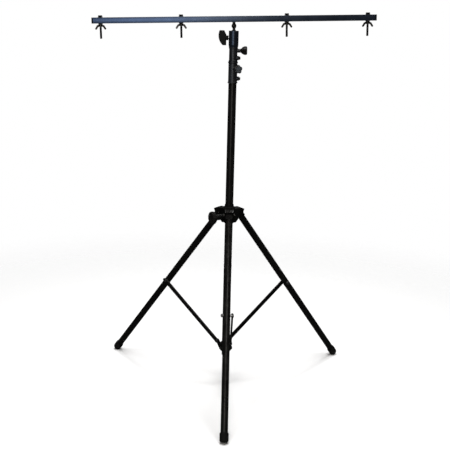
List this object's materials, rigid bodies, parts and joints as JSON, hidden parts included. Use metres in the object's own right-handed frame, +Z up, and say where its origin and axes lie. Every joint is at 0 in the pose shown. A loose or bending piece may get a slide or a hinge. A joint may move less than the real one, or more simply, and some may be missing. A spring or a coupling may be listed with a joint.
{
  "type": "telescoping T-bar lighting stand",
  "caption": "Black three-section tripod stand with folding braced legs, clamp knobs and a T-bar with hanging bolts for stage lights.",
  "frame": {"origin": "floor level, at the middle of the whole stand's outline in X and Y; the mast axis is 0.98 mm to +X and 156.3 mm to +Y of it", "axes": "+Z up along the mast, +X along the T-bar to the viewer's right, -Y towards the front leg"},
  "size_m": [1.2002, 0.9758, 1.669],
  "materials": {
    "black_tube": "satin black powder coat with a fine orange peel",
    "black_fitting": "satin black paint on castings and collars",
    "bar_paint": "semi-gloss black paint on the bar and the socket",
    "dark_steel": "blackened bolts, stud, wing nuts and washers",
    "zinc_steel": "zinc plated screws and rivets",
    "knob_plastic": "moulded black, fine grain",
    "liner_plastic": "smooth low-friction glide",
    "black_plastic": "plugs, end caps and knuckles",
    "foot_rubber": "dull, slightly dusty"
  },
  "bodies": {
    "fixed_mast": {"outer_tube": "black_tube", "mast_foot_plug": "black_plastic", "brace_ring": "black_fitting", "brace_ring_pins": "zinc_steel", "lower_collar": "black_fitting", "lower_collar_screw": "dark_steel"},
    "middle_mast": {"middle_tube": "black_tube", "middle_tube_glide": "liner_plastic", "upper_collar": "black_fitting", "upper_collar_screw": "dark_steel"},
    "inner_mast": {"inner_tube": "black_tube", "inner_tube_glide": "liner_plastic"},
    "head": {"head_socket": "bar_paint", "socket_liner": "liner_plastic", "bar_stud": "dark_steel", "stud_washer": "dark_steel", "t_bar": "bar_paint", "t_bar_cap_left": "black_plastic", "t_bar_cap_right": "black_plastic", "hanging_bolt_1": "dark_steel", "hanging_bolt_2": "dark_steel", "hanging_bolt_3": "dark_steel", "hanging_bolt_4": "dark_steel", "bolt_washers": "dark_steel"},
    "socket_wing": {"wing_knob": "knob_plastic", "wing_knob_screw": "zinc_steel"},
    "lower_star": {"lower_star_knob": "knob_plastic", "lower_star_screw": "zinc_steel"},
    "upper_star": {"upper_star_knob": "knob_plastic", "upper_star_screw": "zinc_steel"},
    "yoke_slider": {"yoke": "black_fitting", "yoke_bush": "black_plastic", "yoke_pivot_bolts": "dark_steel"},
    "yoke_clamp": {"yoke_knob": "knob_plastic", "yoke_knob_screw": "zinc_steel"},
    "nut_1": {"wing_nut_1": "dark_steel"},
    "nut_2": {"wing_nut_2": "dark_steel"},
    "nut_3": {"wing_nut_3": "dark_steel"},
    "nut_4": {"wing_nut_4": "dark_steel"},
    "front_leg": {"leg_tube_front": "black_tube", "leg_knuckle_front": "black_plastic", "foot_front": "foot_rubber", "brace_nut_front": "zinc_steel"},
    "front_brace": {"brace_front": "black_tube", "brace_bolt_front": "zinc_steel"},
    "right_leg": {"leg_tube_right": "black_tube", "leg_knuckle_right": "black_plastic", "foot_right": "foot_rubber", "brace_nut_right": "zinc_steel"},
    "right_brace": {"brace_right": "black_tube", "brace_bolt_right": "zinc_steel"},
    "left_leg": {"leg_tube_left": "black_tube", "leg_knuckle_left": "black_plastic", "foot_left": "foot_rubber", "brace_nut_left": "zinc_steel"},
    "left_brace": {"brace_left": "black_tube", "brace_bolt_left": "zinc_steel"}
  },
  "joints": [
    {"name": "middle_slide", "type": "slide", "parent": "fixed_mast", "child": "middle_mast", "axis": [0, 0, 1], "range_m": [0, 0.75]},
    {"name": "inner_slide", "type": "slide", "parent": "middle_mast", "child": "inner_mast", "axis": [0, 0, 1], "range_m": [0, 0.75]},
    {"name": "head_swivel", "type": "hinge", "parent": "inner_mast", "child": "head", "pos_m": [0.00098, 0.15627, 1.55], "axis": [0, 0, 1], "continuous": true},
    {"name": "wing_knob_turn", "type": "hinge", "parent": "head", "child": "socket_wing", "pos_m": [0.00098, 0.15627, 1.55], "axis": [-1, 0, 0], "continuous": true},
    {"name": "lower_star_turn", "type": "hinge", "parent": "fixed_mast", "child": "lower_star", "pos_m": [0.00098, 0.15627, 1.422], "axis": [0.4226, -0.9063, 0], "continuous": true},
    {"name": "upper_star_turn", "type": "hinge", "parent": "middle_mast", "child": "upper_star", "pos_m": [0.00098, 0.15627, 1.498], "axis": [1, 0, 0], "continuous": true},
    {"name": "yoke_slide", "type": "slide", "parent": "fixed_mast", "child": "yoke_slider", "axis": [0, 0, 1], "range_m": [0, 0.2243]},
    {"name": "yoke_knob_turn", "type": "hinge", "parent": "yoke_slider", "child": "yoke_clamp", "pos_m": [0.00098, 0.15627, 0.774], "axis": [-0.866, -0.5, 0], "continuous": true},
    {"name": "wing_nut_turn_1", "type": "hinge", "parent": "head", "child": "nut_1", "pos_m": [-0.56295, 0.15627, 1.58796], "axis": [0.0349, 0, -0.9994], "continuous": true},
    {"name": "wing_nut_turn_2", "type": "hinge", "parent": "head", "child": "nut_2", "pos_m": [-0.22215, 0.15627, 1.59986], "axis": [0.0349, 0, -0.9994], "continuous": true},
    {"name": "wing_nut_turn_3", "type": "hinge", "parent": "head", "child": "nut_3", "pos_m": [0.22357, 0.15627, 1.61543], "axis": [0.0349, 0, -0.9994], "continuous": true},
    {"name": "wing_nut_turn_4", "type": "hinge", "parent": "head", "child": "nut_4", "pos_m": [0.56437, 0.15627, 1.62733], "axis": [0.0349, 0, -0.9994], "continuous": true},
    {"name": "front_leg_fold", "type": "hinge", "parent": "yoke_slider", "child": "front_leg", "pos_m": [0.00098, 0.10827, 0.788], "axis": [1, 0, 0], "range_deg": [0, 34.35]},
    {"name": "front_brace_fold", "type": "hinge", "parent": "fixed_mast", "child": "front_brace", "pos_m": [0.00098, 0.12227, 0.181], "axis": [-1, 0, 0], "range_deg": [0, 45.05]},
    {"name": "right_leg_fold", "type": "hinge", "parent": "yoke_slider", "child": "right_leg", "pos_m": [0.04255, 0.18027, 0.788], "axis": [-0.5, 0.866, 0], "range_deg": [0, 34.35]},
    {"name": "right_brace_fold", "type": "hinge", "parent": "fixed_mast", "child": "right_brace", "pos_m": [0.03042, 0.17327, 0.181], "axis": [0.5, -0.866, 0], "range_deg": [0, 45.05]},
    {"name": "left_leg_fold", "type": "hinge", "parent": "yoke_slider", "child": "left_leg", "pos_m": [-0.04059, 0.18027, 0.788], "axis": [-0.5, -0.866, 0], "range_deg": [0, 34.35]},
    {"name": "left_brace_fold", "type": "hinge", "parent": "fixed_mast", "child": "left_brace", "pos_m": [-0.02847, 0.17327, 0.181], "axis": [0.5, 0.866, 0], "range_deg": [0, 45.05]}
  ],
  "couplings": [
    {"joint": "front_leg_fold", "follows": "yoke_slide", "rad_per_m": 2.6683},
    {"joint": "front_brace_fold", "follows": "yoke_slide", "rad_per_m": 3.501},
    {"joint": "right_leg_fold", "follows": "yoke_slide", "rad_per_m": 2.6683},
    {"joint": "right_brace_fold", "follows": "yoke_slide", "rad_per_m": 3.501},
    {"joint": "left_leg_fold", "follows": "yoke_slide", "rad_per_m": 2.6683},
    {"joint": "left_brace_fold", "follows": "yoke_slide", "rad_per_m": 3.501}
  ]
}
